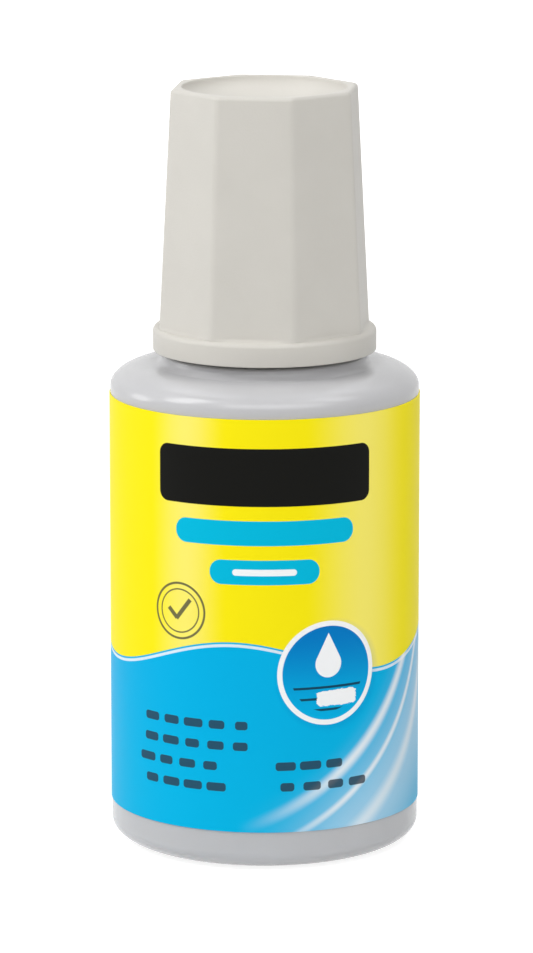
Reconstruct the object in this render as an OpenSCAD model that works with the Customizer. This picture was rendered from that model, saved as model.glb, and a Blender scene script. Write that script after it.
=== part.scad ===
// Correction fluid bottle, about 20 ml, with a brush fixed in its screw cap.
// Millimetres, +Z up. The origin is the middle of the ring that the bottle stands on,
// and the front of the label faces -Y.

/* [Bottle] */
// Outer radius of the round body
body_r = 15; // [13.5:0.5:20]
// Height of the body, from the table to the top of the shoulder
body_h = 47.25; // [42:0.25:70]
// Wall of the body
wall = 1; // [0.6:0.1:1.5]
// Thickness of the floor
floor_t = 1.2; // [0.8:0.1:2]
// How far the heel's curve reaches in from the side
heel_w = 3.5; // [2.5:0.1:4]
// Height of the heel's curve
heel_h = 2; // [1.8:0.1:3.5]
// How far the middle of the base is pushed up off the table
push_up = 1; // [0.4:0.1:1.6]
// Width of the flat ring that touches the table
stand_w = 1.6; // [1:0.1:2.5]
// How far the shoulder's curve reaches in from the side
shoulder_w = 4.1; // [3:0.1:4.5]
// Height of the shoulder's curve
shoulder_h = 2.2; // [1.8:0.1:4]

/* [Neck] */
// Outer radius of the neck, without its thread
neck_r = 7.3; // [7:0.1:8]
// Height of the neck above the shoulder
neck_h = 10.75; // [9.5:0.25:14]
// Wall of the neck
neck_wall = 1.4; // [1:0.1:1.6]
// Radius of the curve where the neck leaves the shoulder
root_r = 0.8; // [0.4:0.1:1.2]

/* [Label] */
// Thickness of the wrapped film
label_t = 0.1; // [0.05:0.01:0.3]
// Gap between the table and the lower edge of the film
label_z = 4.05; // [3.75:0.05:8]
// Height of the film
label_h = 40.35; // [25:0.05:40.75]
// Width of the glued overlap at the back
overlap_w = 4; // [2:0.5:8]
// Height of the line between the yellow and the blue field, above the label's lower edge
wave_z = 17; // [8:0.5:22]
// Rise and fall of that line
wave_h = 1.7; // [0:0.1:2.5]
// Width of the dark bar at the top of the print
dark_w = 20; // [12:0.5:24]
// Height of the dark bar
dark_h = 5.6; // [3:0.1:6]
// Gap between the label's upper edge and the dark bar
dark_gap = 2.8; // [1.5:0.1:4]
// Width of the long blue bar under it
long_w = 17; // [8:0.5:22]
// Width of the short blue bar
short_w = 10.5; // [5:0.5:16]
// Height of each blue bar
bar_h = 2.4; // [1.5:0.1:2.6]
// Gap between bars
bar_gap = 1.4; // [1:0.1:1.8]
// Radius of the round picture with its white border
disc_r = 5.1; // [3:0.1:6]
// White border round the picture
disc_border = 0.55; // [0.3:0.05:1]
// How far the middle of the picture is to the right of the front
disc_x = 6; // [3:0.1:7]
// Height of the middle of the picture above the label's lower edge
disc_z = 15.5; // [8:0.5:18]
// Radius of the white drop in the picture
drop_r = 1.6; // [0.8:0.1:1.8]

/* [Cap] */
// Gap between the shoulder and the lower edge of the collar
cap_gap = 1.35; // [0.8:0.05:2.5]
// Room between the neck and the cap's bore, which the two threads fill
thread_room = 1.2; // [1:0.05:1.4]
// Wall of the cap at the middle of a flat, at the top of the collar
cap_wall = 1.3; // [1.1:0.05:1.8]
// Height of the eight-sided grip above the collar
grip_h = 23.3; // [20:0.1:30]
// Slope of the eight flats from upright, in degrees
grip_draft = 2.75; // [0.5:0.25:3]
// Turn of the flats about the axis, in degrees
grip_turn = 38.3; // [0:0.1:45]
// Cut that rounds the grip's eight corners
corner_cut = 0.16; // [0.05:0.01:0.3]
// Radius along the grip's top edge
top_edge_r = 0.4; // [0.2:0.1:0.8]
// Height of the round collar
collar_h = 2.3; // [1.5:0.05:4]
// How far the collar stands out from the flats
collar_step = 1.05; // [0.7:0.05:1.6]
// Radius along the collar's top edge
collar_edge_r = 0.5; // [0.2:0.1:0.7]
// Land between the dish in the top and the middle of a flat
dish_land = 0.7; // [0.6:0.05:1.5]
// Depth of the dish
dish_depth = 2.2; // [0.8:0.1:2.4]
// Thickness of the top under the middle of the dish
cap_top_t = 1.2; // [1:0.1:2]
// Radius in the top corner of the cored space
core_edge_r = 0.8; // [0.4:0.1:1.5]
// Height and width of the lead-in at the mouth of the bore
entry_h = 0.8; // [0.4:0.1:1]
// Number of ribs between the boss and the wall
rib_count = 8; // [4:1:10]
// Thickness of a rib
rib_t = 0.8; // [0.6:0.1:1]

/* [Closure] */
// Thickness of the sealing ring
liner_t = 1; // [0.6:0.1:1.5]
// Thickness of the wiper's flange on the neck's rim
flange_t = 0.8; // [0.5:0.1:1.2]
// Depth of the wiper below the rim
wiper_depth = 8; // [6.5:0.5:9]
// Wall of the wiper's tube
wiper_wall = 0.9; // [0.7:0.1:1.1]
// Height of the wiper's funnel
funnel_h = 1.6; // [1:0.1:2]
// Thickness of the wiping lip
lip_t = 0.6; // [0.4:0.1:0.9]
// Gap round the stem in the wiping lip
wiper_gap = 0.3; // [0.2:0.05:0.5]

/* [Brush] */
// Radius of the stem where it enters the cap
stem_r = 2.1; // [1.9:0.05:2.3]
// Depth of the stem in the cap's boss, above the sealing ring
stem_grip = 7; // [5:0.5:8]
// Wall of the boss that holds the stem
boss_wall = 0.95; // [0.8:0.05:1.1]
// How far the boss reaches down from the sealing ring's seat
boss_drop = 3.6; // [3:0.1:4.2]
// Height of the stop ring under the boss
stop_h = 0.8; // [0.5:0.1:1]
// How far the stop ring stands out from the stem
stop_w = 0.5; // [0.3:0.1:0.8]
// Radius of the tuft in its hole
tuft_r = 1.4; // [1.2:0.05:1.45]
// Wall of the stem round the tuft
tuft_wall = 0.35; // [0.25:0.05:0.4]
// Depth of the tuft's hole
tuft_hole = 4.5; // [3.5:0.5:6]
// Length of the tuft below the stem
tuft_len = 12; // [9:0.5:15]
// How far the tuft bulges past its hole
tuft_bulge = 0.45; // [0.2:0.05:0.6]
// Gap between the tip of the tuft and the bottle's floor
tip_gap = 1.2; // [0.8:0.1:3]
// Thickness of the steel anchor across the tuft
anchor_t = 0.35; // [0.2:0.05:0.5]
// Height of the anchor
anchor_h = 1.6; // [1:0.1:2]

/* [Contents] */
// Radius of the loose mixing ball
ball_r = 3; // [2:0.25:3.5]
// Direction of the ball from the axis, in degrees
ball_turn = 140; // [0:5:360]
// Height of the fluid above the floor
fill_h = 35; // [15:1:38]

/* [Clearances] */
// Gap between pieces that are pressed or wrapped together
fit = 0.05; // [0.02:0.01:0.08]
// Gap round pieces that turn or lift inside others
run = 0.3; // [0.2:0.05:0.4]
// Gap between the fluid and the brush's path
brush_path = 0.6; // [0.4:0.1:1]
// Small break along moulded edges
edge = 0.3; // [0.1:0.05:0.4]

/* [Hidden] */
$fn = 96;
// Steps in a small rounded edge, and in a large curve
edge_steps = 6;
curve_steps = 14;
wave_steps = 24;

// Radii of the bottle
inner_r = body_r - wall;
stand_r = body_r - heel_w;
dome_r = stand_r - stand_w;
bore_r = neck_r - neck_wall;
// Heights of the bottle's and the cap's levels
rim_z = body_h + neck_h;
seat_z = rim_z + flange_t + liner_t;
collar_z = body_h + cap_gap;
grip_z = collar_z + collar_h;
top_z = grip_z + grip_h;
dome_z = floor_t + push_up;
fill_z = floor_t + fill_h;
// Heights of the middles of the printed bars, and the shapes of their corners and of the drop
dark_z = label_z + label_h - dark_gap - dark_h / 2;
long_z = dark_z - dark_h / 2 - bar_gap - bar_h / 2;
short_z = long_z - bar_h - bar_gap;
bar_corner = 1;
bar_end = 0.49 * bar_h;
drop_lean = 30;
wave_shift = 3;
// Radii of the cap
thread_bore_r = neck_r + thread_room;
flat_r = thread_bore_r + cap_wall;
top_flat_r = flat_r - grip_h * tan(grip_draft);
collar_r = flat_r + collar_step;
dish_r = top_flat_r - dish_land;
ceiling_z = top_z - dish_depth - cap_top_t;
core_r = top_flat_r - cap_wall;
core_low_r = core_r + (ceiling_z - seat_z) * tan(grip_draft);
boss_hole_r = stem_r + fit;
boss_r = boss_hole_r + boss_wall;
boss_z = seat_z - boss_drop;
// Levels of the wiper and the brush
plug_r = bore_r - fit;
wiper_hole_r = stem_r + wiper_gap;
wiper_z = rim_z - wiper_depth;
stem_top_z = seat_z + stem_grip;
tip_z = dome_z + tip_gap;
stem_z = tip_z + tuft_len;
hole_r = tuft_r + fit;
stem_end_r = hole_r + tuft_wall;
ball_orbit = inner_r - ball_r - fit;

// Points along a quarter or part of an ellipse, from angle a0 to a1
function arc(x, y, rx, ry, a0, a1, steps) =
    [for (i = [0:steps]) let (a = a0 + (a1 - a0) * i / steps) [x + rx * cos(a), y + ry * sin(a)]];

// Points of the pushed-up base from the axis out, with its middle z0 above the ring's level
function dome(r, h, z0) =
    [for (i = [0:edge_steps]) let (t = i / edge_steps) [r * t, z0 + h * (1 - t * t)]];

// Section of the body and neck, filled to the axis
function bottle_outside() = concat(
    dome(dome_r, push_up, 0),
    arc(stand_r, heel_h, heel_w, heel_h, -90, 0, curve_steps),
    arc(body_r - shoulder_w, body_h - shoulder_h, shoulder_w, shoulder_h, 0, 90, curve_steps),
    arc(neck_r + root_r, body_h + root_r, root_r, root_r, -90, -180, edge_steps),
    arc(neck_r - edge, rim_z - edge, edge, edge, 0, 90, edge_steps),
    [[0, rim_z]]);

// Section of the space inside, which follows the outside a wall's thickness away
function bottle_inside() = concat(
    dome(dome_r, push_up, floor_t),
    arc(stand_r, floor_t + heel_h - wall / 2, heel_w - wall, heel_h - wall / 2, -90, 0,
        curve_steps),
    arc(body_r - shoulder_w, body_h - shoulder_h, shoulder_w - wall, shoulder_h - wall, 0, 90, curve_steps),
    arc(bore_r + root_r, body_h - wall + root_r, root_r, root_r, -90, -180, edge_steps),
    [[bore_r, rim_z + 1], [0, rim_z + 1]]);

// Blown bottle: thin wall, pushed-up base, round heel and shoulder, plain neck
module bottle() {
    color([0.79, 0.80, 0.81])
    difference() {
        rotate_extrude() polygon(bottle_outside());
        rotate_extrude() polygon(bottle_inside());
    }
}

// The label's film, whose free end lies over the other at the back
module film() {
    translate([0, 0, label_z]) difference() {
        union() {
            cylinder(r = body_r + label_t, h = label_h);
            intersection() {
                cylinder(r = body_r + 2 * label_t, h = label_h);
                translate([-overlap_w / 2, 0, 0]) cube([overlap_w, 2 * body_r, label_h]);
            }
        }
        translate([0, 0, -1]) cylinder(r = body_r, h = label_h + 2);
    }
}

// Region below the wave, through the whole bottle
module wave_region() {
    half = body_r + 1;
    rotate([90, 0, 0]) linear_extrude(height = 4 * body_r, center = true)
        polygon(concat(
            [for (i = [0:wave_steps]) let (x = -half + 2 * half * i / wave_steps)
                [x, label_z + wave_z + wave_h * cos(180 * (x + wave_shift) / half)]],
            [[half, label_z - 1], [-half, label_z - 1]]));
}

// Column in front of the label with the outline of the flat shape that it is given
module print_column(x, z) {
    translate([x, 0, z]) rotate([90, 0, 0]) linear_extrude(height = body_r + 1) children();
}

// Bar with round corners
module bar(w, h, r) {
    square([w - 2 * r, h], center = true);
    square([w, h - 2 * r], center = true);
    for (sx = [-1, 1], sz = [-1, 1])
        translate([sx * (w / 2 - r), sz * (h / 2 - r)]) circle(r = r);
}

// Drop: a round foot under a point
module drop() {
    circle(r = drop_r);
    polygon([[-drop_r * cos(drop_lean), drop_r * sin(drop_lean)], [0, drop_r / sin(drop_lean)],
             [drop_r * cos(drop_lean), drop_r * sin(drop_lean)]]);
}

// Region of the dark bar
module dark_region() {
    print_column(0, dark_z) bar(dark_w, dark_h, bar_corner);
}

// Region of the white print: the picture's border and its drop
module white_region() {
    difference() {
        print_column(disc_x, label_z + disc_z) circle(r = disc_r);
        print_column(disc_x, label_z + disc_z)
            difference() {
                circle(r = disc_r - disc_border);
                drop();
            }
    }
}

// Region of the blue print: the field below the wave, the two bars and the picture
module blue_region() {
    difference() {
        union() {
            wave_region();
            print_column(0, long_z) bar(long_w, bar_h, bar_end);
            print_column(0, short_z) bar(short_w, bar_h, bar_end);
            print_column(disc_x, label_z + disc_z) circle(r = disc_r);
        }
        white_region();
    }
}

// Wrapped label of printed film, in fields of colour
module label() {
    color([0.99, 0.92, 0.10]) difference() {
        film();
        blue_region();
        white_region();
        dark_region();
    }
    color([0.05, 0.68, 0.89]) intersection() {
        film();
        blue_region();
    }
    color([0.97, 0.97, 0.97]) intersection() {
        film();
        white_region();
    }
    color([0.13, 0.13, 0.14]) intersection() {
        film();
        dark_region();
    }
}

// One pair of opposite flats of the grip: a drafted slab with rounded top edges
module flat_pair() {
    side = concat(
        [[flat_r + collar_edge_r * tan(grip_draft), grip_z - collar_edge_r]],
        arc(top_flat_r - top_edge_r, top_z - top_edge_r, top_edge_r, top_edge_r,
            grip_draft, 90, edge_steps));
    other = [for (i = [len(side) - 1:-1:0]) [-side[i][0], side[i][1]]];
    rotate([90, 0, 0]) linear_extrude(height = 4 * collar_r, center = true)
        polygon(concat(side, other));
}

// Eight-sided grip: four slabs crossed, and its corners rounded by a cone
module grip() {
    cone_low = (flat_r + collar_edge_r * tan(grip_draft)) / cos(22.5) - corner_cut;
    cone_high = top_flat_r / cos(22.5) - corner_cut;
    intersection() {
        rotate(grip_turn) flat_pair();
        rotate(grip_turn + 45) flat_pair();
        rotate(grip_turn + 90) flat_pair();
        rotate(grip_turn + 135) flat_pair();
        translate([0, 0, grip_z - collar_edge_r])
            cylinder(r1 = cone_low, r2 = cone_high, h = grip_h + collar_edge_r);
    }
}

// Round collar under the grip
module collar() {
    rotate_extrude() polygon(concat(
        [[0, collar_z], [collar_r, collar_z]],
        arc(collar_r - collar_edge_r, grip_z - collar_edge_r, collar_edge_r, collar_edge_r,
            0, 90, edge_steps),
        [[0, grip_z]]));
}

// Space inside the cap: threaded bore below the seat, cored space above it
module cap_hollow() {
    rotate_extrude() polygon(concat(
        [[0, collar_z - 1], [thread_bore_r + entry_h, collar_z - 1],
         [thread_bore_r + entry_h, collar_z], [thread_bore_r, collar_z + entry_h],
         [thread_bore_r, seat_z], [core_low_r, seat_z]],
        arc(core_r - core_edge_r, ceiling_z - core_edge_r, core_edge_r, core_edge_r, 0, 90, edge_steps),
        [[0, ceiling_z]]));
}

// Boss that grips the stem, and the ribs that carry it and bear on the sealing ring
module boss_and_ribs() {
    translate([0, 0, boss_z]) cylinder(r = boss_r, h = ceiling_z - boss_z + edge);
    for (i = [0:rib_count - 1])
        rotate(grip_turn + i * 360 / rib_count)
            translate([0, -rib_t / 2, seat_z])
                cube([thread_bore_r, rib_t, ceiling_z - seat_z + edge]);
}

// Moulded screw cap: grip, collar, dished top, ribbed core and brush boss in one piece
module cap() {
    color([0.82, 0.81, 0.78])
    difference() {
        union() {
            grip();
            collar();
        }
        translate([0, 0, top_z]) rotate_extrude()
            polygon(concat([[0, 1], [dish_r, 1]], arc(0, 0, dish_r, dish_depth, 0, -90, curve_steps)));
        difference() {
            cap_hollow();
            boss_and_ribs();
        }
        translate([0, 0, boss_z - 1]) cylinder(r = boss_hole_r, h = stem_top_z + fit - boss_z + 1);
    }
}

// Foam sealing ring between the cap and the neck's rim
module cap_liner() {
    color([0.93, 0.93, 0.90])
    translate([0, 0, rim_z + flange_t])
        difference() {
            cylinder(r = neck_r + fit, h = liner_t);
            translate([0, 0, -1]) cylinder(r = boss_r + 2 * run, h = liner_t + 2);
        }
}

// Wiper pressed in the neck: flange on the rim, tube, and funnel down to the wiping lip
module wiper_insert() {
    tube_r = plug_r - wiper_wall;
    color([0.90, 0.91, 0.92])
    rotate_extrude() polygon([
        [plug_r, rim_z], [neck_r - edge, rim_z], [neck_r - edge, rim_z + flange_t],
        [tube_r + edge, rim_z + flange_t], [tube_r, rim_z + flange_t - edge],
        [tube_r, wiper_z + lip_t + funnel_h], [wiper_hole_r, wiper_z + lip_t],
        [wiper_hole_r, wiper_z], [tube_r, wiper_z + funnel_h - edge],
        [plug_r, wiper_z + funnel_h + lip_t]]);
}

// Stem: a plain shank in the boss, a stop ring, and a taper down to the tuft's hole
module brush_stem() {
    color([0.95, 0.95, 0.93])
    rotate_extrude() polygon(concat(
        [[0, stem_z + tuft_hole], [hole_r, stem_z + tuft_hole], [hole_r, stem_z]],
        arc(stem_end_r - tuft_wall / 2, stem_z + tuft_wall / 2, tuft_wall / 2, tuft_wall / 2,
            -90, 0, edge_steps),
        [[stem_end_r, stem_z + tuft_hole], [stem_r, boss_z - stop_h - stop_w],
         [stem_r + stop_w, boss_z - stop_h], [stem_r + stop_w, boss_z],
         [stem_r, boss_z], [stem_r, stem_top_z - edge], [stem_r - edge, stem_top_z], [0, stem_top_z]]));
}

// Tuft of nylon bristles, folded over the anchor in the stem's hole
module bristles() {
    full_r = tuft_r + tuft_bulge;
    color([0.96, 0.95, 0.90])
    difference() {
        rotate_extrude() polygon(concat(
            [[0, stem_z + tuft_hole - fit], [tuft_r, stem_z + tuft_hole - fit], [tuft_r, stem_z]],
            arc(tuft_r, stem_z - tuft_len / 2, tuft_bulge, tuft_len / 2, 75, 0, edge_steps),
            arc(0, stem_z - tuft_len / 2, full_r, tuft_len / 2, -15, -90, curve_steps)));
        translate([-2 * tuft_r, -anchor_t / 2 - fit, stem_z + tuft_hole - anchor_h - 3 * fit])
            cube([4 * tuft_r, anchor_t + 2 * fit, 2 * anchor_h]);
    }
}

// Flat steel anchor driven across the folded tuft
module tuft_anchor() {
    color([0.75, 0.76, 0.78])
    intersection() {
        translate([-2 * tuft_r, -anchor_t / 2, stem_z + tuft_hole - anchor_h - 2 * fit])
            cube([4 * tuft_r, anchor_t, anchor_h]);
        translate([0, 0, stem_z]) cylinder(r = tuft_r, h = tuft_hole);
    }
}

// Loose steel ball that stirs the fluid, at rest against the wall on the floor
module mixing_ball() {
    color([0.72, 0.73, 0.75])
    rotate(ball_turn) translate([ball_orbit, 0, floor_t + ball_r + fit]) sphere(r = ball_r);
}

// White fluid, open round the brush's path and round the ball
module correction_fluid() {
    color([0.97, 0.97, 0.96])
    difference() {
        intersection() {
            translate([0, 0, fit]) rotate_extrude() polygon(bottle_inside());
            cylinder(r = inner_r - fit, h = fill_z);
        }
        translate([0, 0, tip_z - brush_path]) cylinder(r = stem_r + brush_path, h = fill_z);
        rotate(ball_turn) translate([ball_orbit, 0, floor_t + ball_r + fit]) sphere(r = ball_r + fit);
    }
}

bottle();
label();
cap();
cap_liner();
wiper_insert();
brush_stem();
bristles();
tuft_anchor();
mixing_ball();
correction_fluid();
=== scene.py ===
# Correction fluid bottle: the finish of every surface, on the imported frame
import bpy
import bmesh
import math
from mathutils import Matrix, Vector


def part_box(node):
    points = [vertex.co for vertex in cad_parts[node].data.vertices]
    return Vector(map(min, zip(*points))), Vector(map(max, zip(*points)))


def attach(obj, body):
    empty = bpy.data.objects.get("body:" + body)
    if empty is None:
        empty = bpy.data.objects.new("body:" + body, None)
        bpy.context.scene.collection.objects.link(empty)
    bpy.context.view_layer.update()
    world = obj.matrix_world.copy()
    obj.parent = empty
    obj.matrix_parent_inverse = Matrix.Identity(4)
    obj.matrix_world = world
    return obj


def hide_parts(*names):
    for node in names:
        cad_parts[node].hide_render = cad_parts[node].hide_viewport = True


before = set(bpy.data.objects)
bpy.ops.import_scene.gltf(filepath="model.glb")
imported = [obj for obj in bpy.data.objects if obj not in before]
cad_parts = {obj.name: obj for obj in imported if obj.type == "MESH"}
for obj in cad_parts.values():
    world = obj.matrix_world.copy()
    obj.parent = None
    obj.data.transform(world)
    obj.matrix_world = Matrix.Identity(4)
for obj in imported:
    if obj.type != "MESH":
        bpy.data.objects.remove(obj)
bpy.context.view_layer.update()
mm = 0.001
fullTurn = 2 * math.pi
print("frame loaded:", ", ".join(sorted(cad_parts)))


def boxMm(node):
    low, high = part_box(node)
    return Vector(low) / mm, Vector(high) / mm


# Levels and radii that several pieces share, in millimetres, read from the frame
bottleHigh = boxMm("bottle")[1]
labelLow, labelHigh = boxMm("label")
capLow, capHigh = boxMm("cap")
linerLow, linerHigh = boxMm("cap_liner")
wiperLow, wiperHigh = boxMm("wiper_insert")
stemLow, stemHigh = boxMm("brush_stem")
tuftLow = boxMm("bristles")[0]
bodyRadius = bottleHigh.x
rimHeight = bottleHigh.z
seatHeight = linerHigh.z
filmRadius = labelHigh.x


# Colours are given as a picture editor shows them, 0 to 255
def colour(red, green, blue):
    def linear(level):
        level /= 255
        return level / 12.92 if level <= 0.04045 else ((level + 0.055) / 1.055) ** 2.4
    return (linear(red), linear(green), linear(blue), 1)


# An output socket that can be used in sums; each operator adds a Math node
class Wire:
    def __init__(self, graph, socket):
        self.graph = graph
        self.socket = socket

    def other(self, name):  # another output of the same node
        return Wire(self.graph, self.socket.node.outputs[name])

    def __add__(self, value):
        return self.graph.maths("ADD", self, value)

    def __sub__(self, value):
        return self.graph.maths("SUBTRACT", self, value)

    def __rsub__(self, value):
        return self.graph.maths("SUBTRACT", value, self)

    def __mul__(self, value):
        return self.graph.maths("MULTIPLY", self, value)

    def __truediv__(self, value):
        return self.graph.maths("DIVIDE", self, value)

    def __abs__(self):
        return self.graph.maths("ABSOLUTE", self)

    def __neg__(self):
        return self.graph.maths("MULTIPLY", self, -1)

    __radd__ = __add__
    __rmul__ = __mul__


# A node tree, for a material or for geometry
class Graph:
    def __init__(self, tree):
        self.tree = tree

    def node(self, kind, settings=None, inputs=None, output=0):  # inputs are values or wires
        made = self.tree.nodes.new(kind)
        for name, value in (settings or {}).items():
            setattr(made, name, value)
        for key, value in (inputs or {}).items():
            if isinstance(value, Wire):
                self.tree.links.new(value.socket, made.inputs[key])
            else:
                made.inputs[key].default_value = value
        return Wire(self, made.outputs[output]) if len(made.outputs) else made

    def maths(self, operation, *values, clamp=False):
        settings = {"operation": operation, "use_clamp": clamp}
        return self.node("ShaderNodeMath", settings, dict(enumerate(values)))

    def vector(self, operation, *values, output=0):
        return self.node("ShaderNodeVectorMath", {"operation": operation}, dict(enumerate(values)), output)

    def join(self, x, y, z):
        return self.node("ShaderNodeCombineXYZ", None, {0: x, 1: y, 2: z})

    def blend(self, factor, first, second):  # two colours, or wires that carry them
        return self.node("ShaderNodeMix", {"data_type": "RGBA"}, {0: factor, 6: first, 7: second}, 2)

    def highest(self, first, second):
        return self.maths("MAXIMUM", first, second)

    def lowest(self, first, second):
        return self.maths("MINIMUM", first, second)

    def ramp(self, value, low, high):  # 0 at low, 1 at high, smooth between
        inputs = {0: value, 1: low, 2: high, 3: 0, 4: 1}
        return self.node("ShaderNodeMapRange", {"interpolation_type": "SMOOTHSTEP"}, inputs)

    def noise(self, place, scale, detail):  # scale in waves per metre
        return self.node("ShaderNodeTexNoise", None, {"Vector": place, "Scale": scale, "Detail": detail})


# Mesh helpers

def quarter(x, z, wide, tall, start, end, steps):  # points on part of an ellipse, angles in degrees
    angles = [math.radians(start + (end - start) * i / steps) for i in range(steps + 1)]
    return [(x + wide * math.cos(a), z + tall * math.sin(a)) for a in angles]


creaseAngle = math.radians(32)  # edges sharper than this stay sharp
mergeDistance = 2e-7  # metres


def closeMesh(mesh, name, material):
    bmesh.ops.remove_doubles(mesh, verts=mesh.verts, dist=mergeDistance)
    bmesh.ops.dissolve_degenerate(mesh, edges=mesh.edges, dist=mergeDistance)
    bmesh.ops.recalc_face_normals(mesh, faces=mesh.faces)
    for face in mesh.faces:
        face.smooth = True
    for edge in mesh.edges:
        edge.smooth = edge.calc_face_angle(0) < creaseAngle
    data = bpy.data.meshes.new(name)
    mesh.to_mesh(data)
    mesh.free()
    return addPiece(data, name, material)


def addPiece(data, name, material):
    piece = bpy.data.objects.new(name, data)
    bpy.context.scene.collection.objects.link(piece)
    data.materials.clear()
    data.materials.append(material)
    return piece


def skinRings(mesh, rings, closed=False):  # joins rings of points; a ring of one point is a pole
    made = [[mesh.verts.new(Vector(p) * mm) for p in ring] for ring in rings]
    pairs = list(zip(made, made[1:] + made[:1])) if closed else list(zip(made, made[1:]))
    for lower, upper in pairs:
        count = max(len(lower), len(upper))
        if count == 1:
            continue
        for i in range(count):
            j = (i + 1) % count
            corners = [lower[i % len(lower)], lower[j % len(lower)],
                       upper[j % len(upper)], upper[i % len(upper)]]
            corners = list(dict.fromkeys(corners))
            if len(corners) > 2:
                mesh.faces.new(corners)


def lathe(name, outline, material, steps=160, closed=False):  # outline is (radius, height) points
    mesh = bmesh.new()
    turns = [fullTurn * i / steps for i in range(steps)]
    rings = [[(0, 0, z)] if r < 1e-6 else [(r * math.cos(a), r * math.sin(a), z) for a in turns]
             for r, z in outline]
    skinRings(mesh, rings, closed)
    return closeMesh(mesh, name, material)


# Geometry trees

def geometryTree(name, inputs):
    tree = bpy.data.node_groups.new(name, "GeometryNodeTree")
    tree.interface.new_socket("Geometry", in_out="OUTPUT", socket_type="NodeSocketGeometry")
    for title, value in inputs.items():
        kind = "NodeSocketInt" if isinstance(value, int) else "NodeSocketFloat"
        tree.interface.new_socket(title, in_out="INPUT", socket_type=kind)
    graph = Graph(tree)
    entry = tree.nodes.new("NodeGroupInput")
    return graph, {title: Wire(graph, entry.outputs[title]) for title in inputs}


def growPiece(name, graph, geometry, inputs, material):
    solid = graph.node("GeometryNodeRealizeInstances", None, {"Geometry": geometry})
    solid = graph.node("GeometryNodeSetMaterial", None, {"Geometry": solid, "Material": material})
    graph.node("NodeGroupOutput", None, {0: solid})
    holder = bpy.data.objects.new(name + "Holder", bpy.data.meshes.new(name + "Holder"))
    bpy.context.scene.collection.objects.link(holder)
    modifier = holder.modifiers.new(name, "NODES")
    modifier.node_group = graph.tree
    for item in graph.tree.interface.items_tree:
        if item.in_out == "INPUT":
            modifier[item.identifier] = inputs[item.name]
    view = bpy.context.evaluated_depsgraph_get()
    data = bpy.data.meshes.new_from_object(holder.evaluated_get(view))
    data.name = name
    bpy.data.objects.remove(holder)
    mesh = bmesh.new()
    mesh.from_mesh(data)
    return closeMesh(mesh, name, material)


def growThread(name, inputs, material):
    # a trapezoid ridge along a helix; Depth is positive outwards, and both ends fade into the wall
    graph, given = geometryTree(name + "Tree", inputs)
    path = graph.node("GeometryNodeCurveSpiral", None, {
        "Resolution": given["Steps"], "Rotations": given["Turns"], "Start Radius": given["Wall Radius"],
        "End Radius": given["Wall Radius"], "Height": given["Pitch"] * given["Turns"]})
    lift = graph.join(0.0, 0.0, given["Start Height"])
    path = graph.node("GeometryNodeSetPosition", None, {"Geometry": path, "Offset": lift})
    path = graph.node("GeometryNodeSetCurveNormal", {"mode": "Z_UP"}, {"Curve": path})
    along = graph.node("GeometryNodeSplineParameter")
    nearEnd = graph.lowest(along, 1 - along) * given["Turns"]
    fade = graph.ramp(nearEnd, 0.0, given["Fade Turns"]) * 0.98 + 0.02  # never quite down to a point
    half = given["Base Width"] * 0.5
    crest = given["Crest Width"] * 0.5
    peak = -given["Depth"]  # the path's normal points at the axis
    root = given["Depth"] * 0.15  # the ridge is sunk this far into the wall
    outline = graph.node("GeometryNodeCurvePrimitiveQuadrilateral", {"mode": "POINTS"}, {
        "Point 1": graph.join(root, half, 0.0), "Point 2": graph.join(peak, crest, 0.0),
        "Point 3": graph.join(peak, -crest, 0.0), "Point 4": graph.join(root, -half, 0.0)})
    outline = graph.node("GeometryNodeFilletCurve", {"mode": "POLY"}, {
        "Curve": outline, "Count": 3, "Radius": given["Edge Radius"]})
    ridge = graph.node("GeometryNodeCurveToMesh", None, {
        "Curve": path, "Profile Curve": outline, "Scale": fade, "Fill Caps": True})
    return growPiece(name, graph, ridge, inputs, material)


# Materials

def newMaterial(name):
    material = bpy.data.materials.new(name)
    material.use_nodes = True
    material.node_tree.nodes.clear()
    graph = Graph(material.node_tree)
    place = graph.node("ShaderNodeTexCoord", None, None, "Object")
    return material, graph, place


def shade(graph, inputs):
    surface = graph.node("ShaderNodeBsdfPrincipled", None, inputs)
    graph.node("ShaderNodeOutputMaterial", None, {"Surface": surface})


mouldSurface = {"mottleScale": 220, "mottleSpread": 0.08, "grainSpread": 0.05, "grainDepth": 0.04 * mm}


def plasticFinish(name, look):
    # moulded plastic: faint mottle in colour and gloss, and the fine texture of the mould
    material, graph, place = newMaterial(name)
    mottle = graph.noise(place, mouldSurface["mottleScale"], 3)
    grain = graph.noise(place, look["grainScale"], 3)
    tint = graph.blend(graph.ramp(mottle, 0.3, 0.7), look["dark"], look["light"])
    rough = look["roughness"] + (mottle - 0.5) * mouldSurface["mottleSpread"]
    rough = rough + (grain - 0.5) * mouldSurface["grainSpread"]
    bump = graph.node("ShaderNodeBump", None, {
        "Strength": look["grainStrength"], "Distance": mouldSurface["grainDepth"], "Height": grain})
    shade(graph, {"Base Color": tint, "Roughness": rough, "Normal": bump,
                  "Subsurface Weight": look["glow"], "Subsurface Radius": (1, 1, 1),
                  "Subsurface Scale": look["glowDepth"], "Specular IOR Level": look["gloss"]})
    return material


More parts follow.
